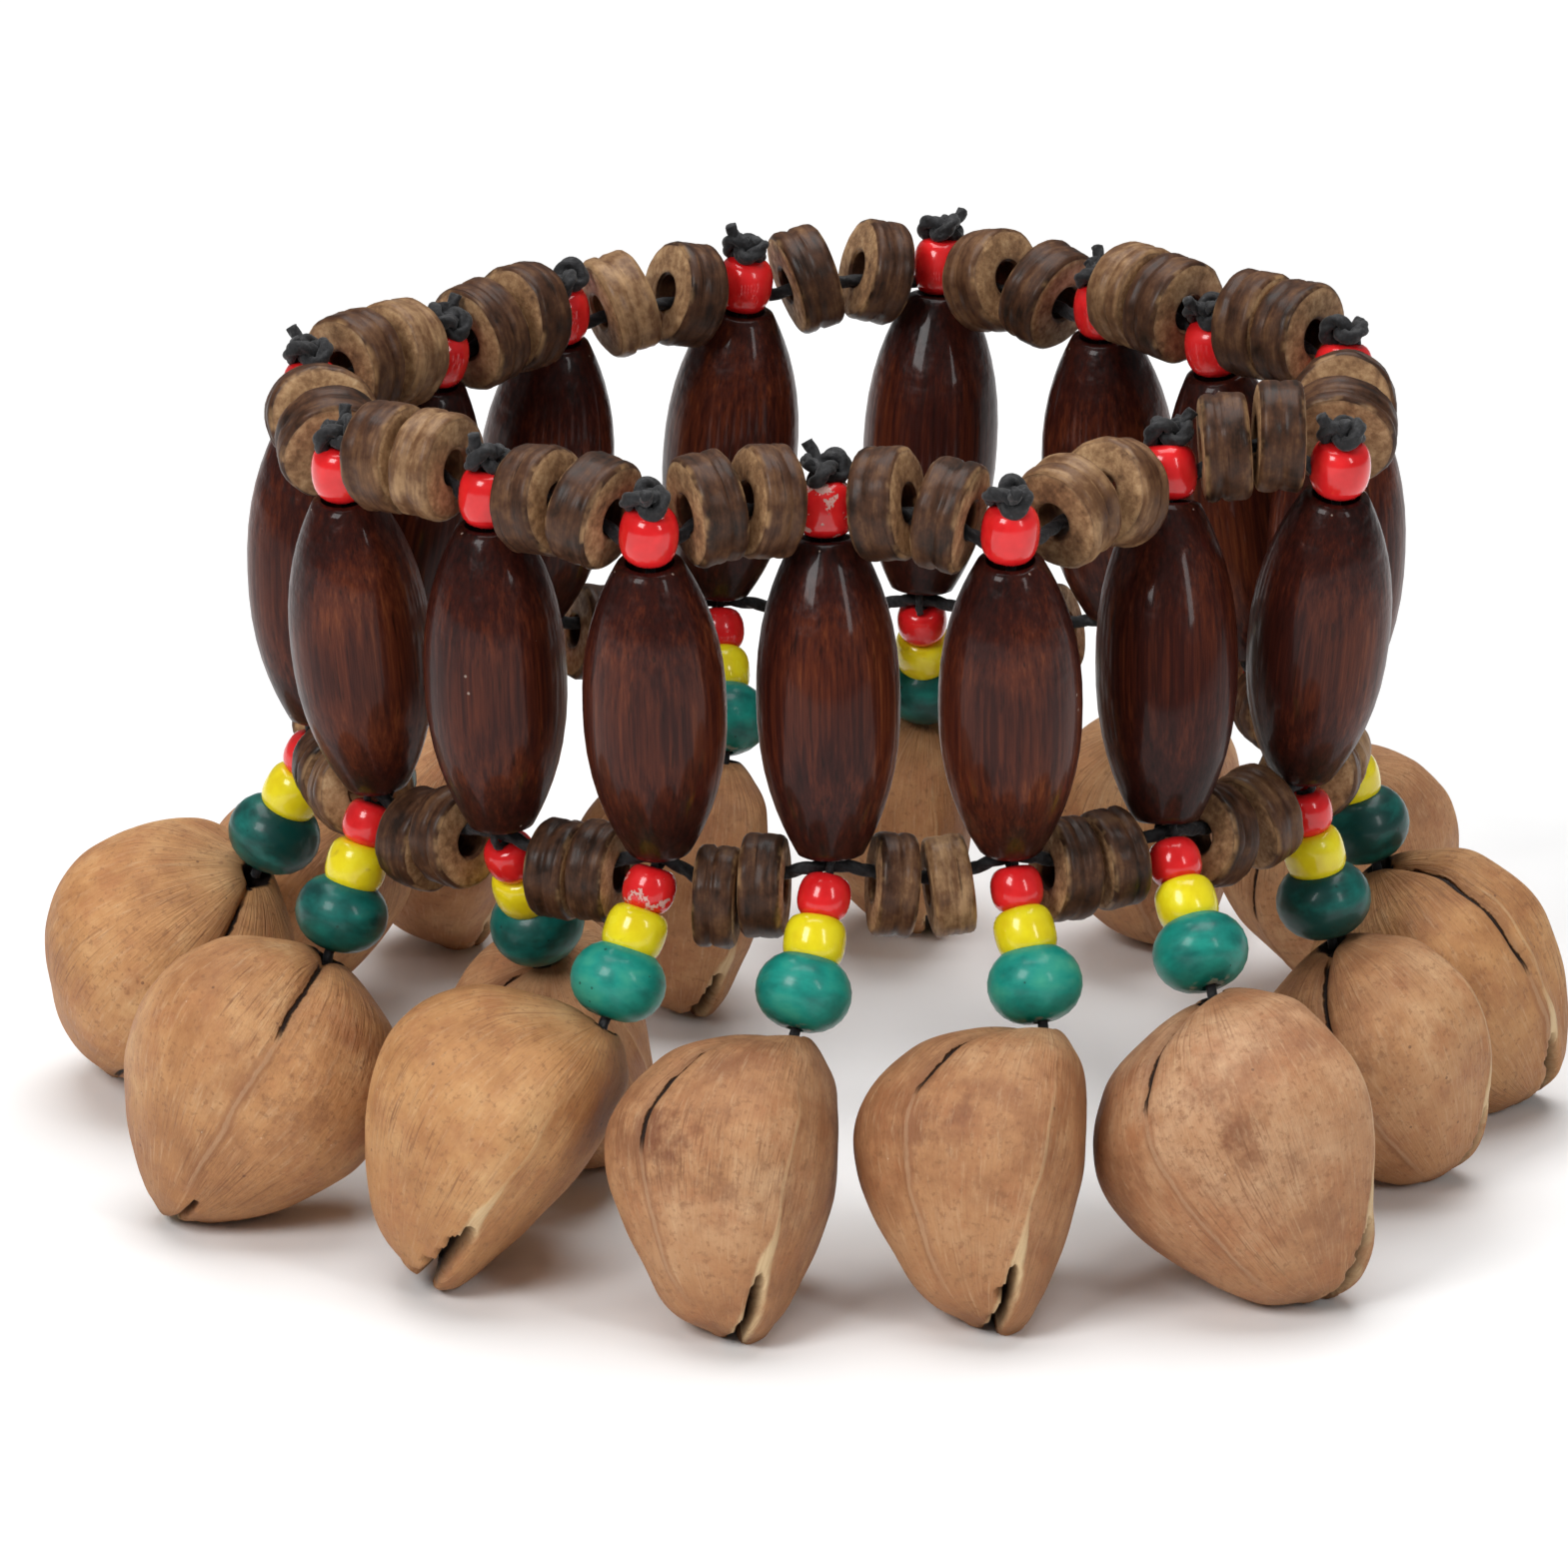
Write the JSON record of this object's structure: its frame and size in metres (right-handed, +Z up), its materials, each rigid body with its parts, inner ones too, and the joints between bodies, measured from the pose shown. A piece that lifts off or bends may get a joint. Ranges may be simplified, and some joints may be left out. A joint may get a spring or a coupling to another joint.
{
  "type": "nutshell shaker bracelet",
  "caption": "Stretch bracelet rattle: upright oval wood beads between two disc-strung elastic rings, each with a painted bead tail ending in a hollow nut shell that swings and clacks.",
  "frame": {"origin": "on the table plane under the middle of the bracelet's box", "axes": "+Z up through the wrist opening, +X along the long way of the ring, -Y the side that faces the viewer"},
  "size_m": [0.1548, 0.1288, 0.0842],
  "materials": {
    "coconut_shell": "polished rim, raw sawn faces",
    "dark_wood": "dark reddish brown lacquer, glossy",
    "painted_bead": "red, yellow and green stain and lacquer, satin to gloss",
    "nut_brown": "bare dry nut shell, matt, fibrous"
  },
  "bodies": {
    "band": {"upper_ring": "coconut_shell", "lower_ring": "coconut_shell"},
    "oval_01": {"oval_bead_01": "dark_wood"},
    "tail_01": {"bead_tail_01": "painted_bead"},
    "nut_01": {"nut_shell_01": "nut_brown"},
    "oval_02": {"oval_bead_02": "dark_wood"},
    "tail_02": {"bead_tail_02": "painted_bead"},
    "nut_02": {"nut_shell_02": "nut_brown"},
    "oval_03": {"oval_bead_03": "dark_wood"},
    "tail_03": {"bead_tail_03": "painted_bead"},
    "nut_03": {"nut_shell_03": "nut_brown"},
    "oval_04": {"oval_bead_04": "dark_wood"},
    "tail_04": {"bead_tail_04": "painted_bead"},
    "nut_04": {"nut_shell_04": "nut_brown"},
    "oval_05": {"oval_bead_05": "dark_wood"},
    "tail_05": {"bead_tail_05": "painted_bead"},
    "nut_05": {"nut_shell_05": "nut_brown"},
    "oval_06": {"oval_bead_06": "dark_wood"},
    "tail_06": {"bead_tail_06": "painted_bead"},
    "nut_06": {"nut_shell_06": "nut_brown"},
    "oval_07": {"oval_bead_07": "dark_wood"},
    "tail_07": {"bead_tail_07": "painted_bead"},
    "nut_07": {"nut_shell_07": "nut_brown"},
    "oval_08": {"oval_bead_08": "dark_wood"},
    "tail_08": {"bead_tail_08": "painted_bead"},
    "nut_08": {"nut_shell_08": "nut_brown"},
    "oval_09": {"oval_bead_09": "dark_wood"},
    "tail_09": {"bead_tail_09": "painted_bead"},
    "nut_09": {"nut_shell_09": "nut_brown"},
    "oval_10": {"oval_bead_10": "dark_wood"},
    "tail_10": {"bead_tail_10": "painted_bead"},
    "nut_10": {"nut_shell_10": "nut_brown"},
    "oval_11": {"oval_bead_11": "dark_wood"},
    "tail_11": {"bead_tail_11": "painted_bead"},
    "nut_11": {"nut_shell_11": "nut_brown"},
    "oval_12": {"oval_bead_12": "dark_wood"},
    "tail_12": {"bead_tail_12": "painted_bead"},
    "nut_12": {"nut_shell_12": "nut_brown"},
    "oval_13": {"oval_bead_13": "dark_wood"},
    "tail_13": {"bead_tail_13": "painted_bead"},
    "nut_13": {"nut_shell_13": "nut_brown"},
    "oval_14": {"oval_bead_14": "dark_wood"},
    "tail_14": {"bead_tail_14": "painted_bead"},
    "nut_14": {"nut_shell_14": "nut_brown"},
    "oval_15": {"oval_bead_15": "dark_wood"},
    "tail_15": {"bead_tail_15": "painted_bead"},
    "nut_15": {"nut_shell_15": "nut_brown"}
  },
  "joints": [
    {"name": "oval_spin_01", "type": "hinge", "parent": "band", "child": "oval_01", "pos_m": [-0.04349, -0.01737, 0.05692], "axis": [-0.0836, -0.1225, 0.9889], "continuous": true},
    {"name": "tail_swing_01", "type": "hinge", "parent": "band", "child": "tail_01", "pos_m": [-0.0421, -0.01532, 0.04036], "axis": [-0.5823, 0.8114, 0.0513], "range_deg": [0, 28]},
    {"name": "nut_swing_01", "type": "hinge", "parent": "tail_01", "child": "nut_01", "pos_m": [-0.0472, -0.01795, 0.02404], "axis": [-0.5823, 0.8114, 0.0513], "range_deg": [-10, 2]},
    {"name": "oval_spin_02", "type": "hinge", "parent": "band", "child": "oval_02", "pos_m": [-0.03001, -0.02779, 0.05708], "axis": [-0.0281, -0.0442, 0.9986], "continuous": true},
    {"name": "tail_swing_02", "type": "hinge", "parent": "band", "child": "tail_02", "pos_m": [-0.02954, -0.02705, 0.04036], "axis": [-0.8441, 0.5361, 0], "range_deg": [-18, 1]},
    {"name": "nut_swing_02", "type": "hinge", "parent": "tail_02", "child": "nut_02", "pos_m": [-0.02517, -0.02018, 0.02509], "axis": [-0.8441, 0.5361, 0], "range_deg": [-10, 3]},
    {"name": "oval_spin_03", "type": "hinge", "parent": "band", "child": "oval_03", "pos_m": [-0.01439, -0.03642, 0.0569], "axis": [-0.0241, -0.1555, 0.9875], "continuous": true},
    {"name": "tail_swing_03", "type": "hinge", "parent": "band", "child": "tail_03", "pos_m": [-0.01399, -0.03381, 0.04036], "axis": [-0.966, 0.2581, 0.017], "range_deg": [-1, 18]},
    {"name": "nut_swing_03", "type": "hinge", "parent": "tail_03", "child": "nut_03", "pos_m": [-0.01947, -0.04056, 0.0254], "axis": [-0.966, 0.2581, 0.017], "range_deg": [-2, 23]},
    {"name": "oval_spin_04", "type": "hinge", "parent": "band", "child": "oval_04", "pos_m": [0.00239, -0.03396, 0.05698], "axis": [-0.0173, 0.1219, 0.9924], "continuous": true},
    {"name": "tail_swing_04", "type": "hinge", "parent": "band", "child": "tail_04", "pos_m": [0.00268, -0.036, 0.04036], "axis": [-0.9998, -0.0021, -0.0172], "range_deg": [-8, 31]},
    {"name": "nut_swing_04", "type": "hinge", "parent": "tail_04", "child": "nut_04", "pos_m": [-0.00095, -0.0447, 0.02585], "axis": [-0.9998, -0.0021, -0.0172], "range_deg": [-8, 26]},
    {"name": "oval_spin_05", "type": "hinge", "parent": "band", "child": "oval_05", "pos_m": [0.01999, -0.03606, 0.05692], "axis": [-0.0117, -0.1479, 0.9889], "continuous": true},
    {"name": "tail_swing_05", "type": "hinge", "parent": "band", "child": "tail_05", "pos_m": [0.02019, -0.03358, 0.04036], "axis": [-0.9623, -0.2672, -0.0513], "range_deg": [-10, 6]},
    {"name": "nut_swing_05", "type": "hinge", "parent": "tail_05", "child": "nut_05", "pos_m": [0.02331, -0.04201, 0.02557], "axis": [-0.9623, -0.2672, -0.0513], "range_deg": [-8, 13]},
    {"name": "oval_spin_06", "type": "hinge", "parent": "band", "child": "oval_06", "pos_m": [0.03559, -0.02247, 0.05659], "axis": [0.0005, 0.2469, 0.969], "continuous": true},
    {"name": "tail_swing_06", "type": "hinge", "parent": "band", "child": "tail_06", "pos_m": [0.03558, -0.02661, 0.04036], "axis": [-0.8431, -0.521, 0.1332], "range_deg": [-1, 27]},
    {"name": "nut_swing_06", "type": "hinge", "parent": "tail_06", "child": "nut_06", "pos_m": [0.03993, -0.037, 0.02722], "axis": [-0.8431, -0.521, 0.1332], "range_deg": [-3, 26]},
    {"name": "oval_spin_07", "type": "hinge", "parent": "band", "child": "oval_07", "pos_m": [0.05085, -0.01497, 0.05681], "axis": [0.0843, -0.1666, 0.9824], "continuous": true},
    {"name": "tail_swing_07", "type": "hinge", "parent": "band", "child": "tail_07", "pos_m": [0.04944, -0.01218, 0.04036], "axis": [-0.5051, -0.857, -0.102], "range_deg": [-4, 36]},
    {"name": "nut_swing_07", "type": "hinge", "parent": "tail_07", "child": "nut_07", "pos_m": [0.05289, -0.0122, 0.0234], "axis": [-0.5051, -0.857, -0.102], "range_deg": [-4, 6]},
    {"name": "oval_spin_08", "type": "hinge", "parent": "band", "child": "oval_08", "pos_m": [0.05388, 0.01028, 0.05706], "axis": [0.0236, 0.0743, 0.997], "continuous": true},
    {"name": "tail_swing_08", "type": "hinge", "parent": "band", "child": "tail_08", "pos_m": [0.05348, 0.00904, 0.04036], "axis": [0.1567, -0.9852, 0.0697], "range_deg": [-1, 37]},
    {"name": "nut_swing_08", "type": "hinge", "parent": "tail_08", "child": "nut_08", "pos_m": [0.05846, 0.00866, 0.02379], "axis": [0.1567, -0.9852, 0.0697], "range_deg": [-1, 5]},
    {"name": "oval_spin_09", "type": "hinge", "parent": "band", "child": "oval_09", "pos_m": [0.04425, 0.02306, 0.05685], "axis": [-0.1378, -0.1056, 0.9848], "continuous": true},
    {"name": "tail_swing_09", "type": "hinge", "parent": "band", "child": "tail_09", "pos_m": [0.04655, 0.02483, 0.04036], "axis": [0.6081, -0.7938, 0], "range_deg": [-10, 28]},
    {"name": "nut_swing_09", "type": "hinge", "parent": "tail_09", "child": "nut_09", "pos_m": [0.05479, 0.03113, 0.02651], "axis": [0.6081, -0.7938, 0], "range_deg": [-3, 21]},
    {"name": "oval_spin_10", "type": "hinge", "parent": "band", "child": "oval_10", "pos_m": [0.03175, 0.03485, 0.05698], "axis": [-0.0603, -0.1059, 0.9925], "continuous": true},
    {"name": "tail_swing_10", "type": "hinge", "parent": "band", "child": "tail_10", "pos_m": [0.03277, 0.03663, 0.04036], "axis": [0.8688, -0.4951, 0], "range_deg": [-10, 28]},
    {"name": "nut_swing_10", "type": "hinge", "parent": "tail_10", "child": "nut_10", "pos_m": [0.03753, 0.045, 0.02598], "axis": [0.8688, -0.4951, 0], "range_deg": [-5, 23]},
    {"name": "oval_spin_11", "type": "hinge", "parent": "band", "child": "oval_11", "pos_m": [0.01337, 0.04578, 0.05693], "axis": [0.0551, 0.1323, 0.9897], "continuous": true},
    {"name": "tail_swing_11", "type": "hinge", "parent": "band", "child": "tail_11", "pos_m": [0.01244, 0.04356, 0.04036], "axis": [0.9873, -0.1554, -0.0342], "range_deg": [-10, 19]},
    {"name": "nut_swing_11", "type": "hinge", "parent": "tail_11", "child": "nut_11", "pos_m": [0.01319, 0.05167, 0.02509], "axis": [0.9873, -0.1554, -0.0342], "range_deg": [-3, 24]},
    {"name": "oval_spin_12", "type": "hinge", "parent": "band", "child": "oval_12", "pos_m": [-0.00748, 0.04233, 0.05702], "axis": [0.0809, -0.0561, 0.9951], "continuous": true},
    {"name": "tail_swing_12", "type": "hinge", "parent": "band", "child": "tail_12", "pos_m": [-0.00884, 0.04327, 0.04036], "axis": [0.9807, 0.1825, -0.0694], "range_deg": [-10, 69]},
    {"name": "nut_swing_12", "type": "hinge", "parent": "tail_12", "child": "nut_12", "pos_m": [-0.00804, 0.03355, 0.02607], "axis": [0.9807, 0.1825, -0.0694], "range_deg": [-10, 3]},
    {"name": "oval_spin_13", "type": "hinge", "parent": "band", "child": "oval_13", "pos_m": [-0.02655, 0.0341, 0.0569], "axis": [0.0944, -0.1259, 0.9875], "continuous": true},
    {"name": "tail_swing_13", "type": "hinge", "parent": "band", "child": "tail_13", "pos_m": [-0.02813, 0.03621, 0.04036], "axis": [0.8594, 0.511, -0.017], "range_deg": [-1, 28]},
    {"name": "nut_swing_13", "type": "hinge", "parent": "tail_13", "child": "nut_13", "pos_m": [-0.03345, 0.0447, 0.02625], "axis": [0.8594, 0.511, -0.017], "range_deg": [-2, 19]},
    {"name": "oval_spin_14", "type": "hinge", "parent": "band", "child": "oval_14", "pos_m": [-0.04001, 0.02048, 0.05674], "axis": [0.1744, -0.1133, 0.9781], "continuous": true},
    {"name": "tail_swing_14", "type": "hinge", "parent": "band", "child": "tail_14", "pos_m": [-0.04293, 0.02237, 0.04036], "axis": [0.5448, 0.8386, 0], "range_deg": [-10, 58]},
    {"name": "nut_swing_14", "type": "hinge", "parent": "tail_14", "child": "nut_14", "pos_m": [-0.04518, 0.02383, 0.02326], "axis": [0.5448, 0.8386, 0], "range_deg": [-10, 5]},
    {"name": "oval_spin_15", "type": "hinge", "parent": "band", "child": "oval_15", "pos_m": [-0.04882, 0.00432, 0.05708], "axis": [-0.0186, 0.0519, 0.9985], "continuous": true},
    {"name": "tail_swing_15", "type": "hinge", "parent": "band", "child": "tail_15", "pos_m": [-0.04851, 0.00345, 0.04036], "axis": [-0.0213, 0.9984, -0.0523], "range_deg": [-6, 30]},
    {"name": "nut_swing_15", "type": "hinge", "parent": "tail_15", "child": "nut_15", "pos_m": [-0.0554, 0.00488, 0.02456], "axis": [-0.0213, 0.9984, -0.0523], "range_deg": [-8, 12]}
  ]
}
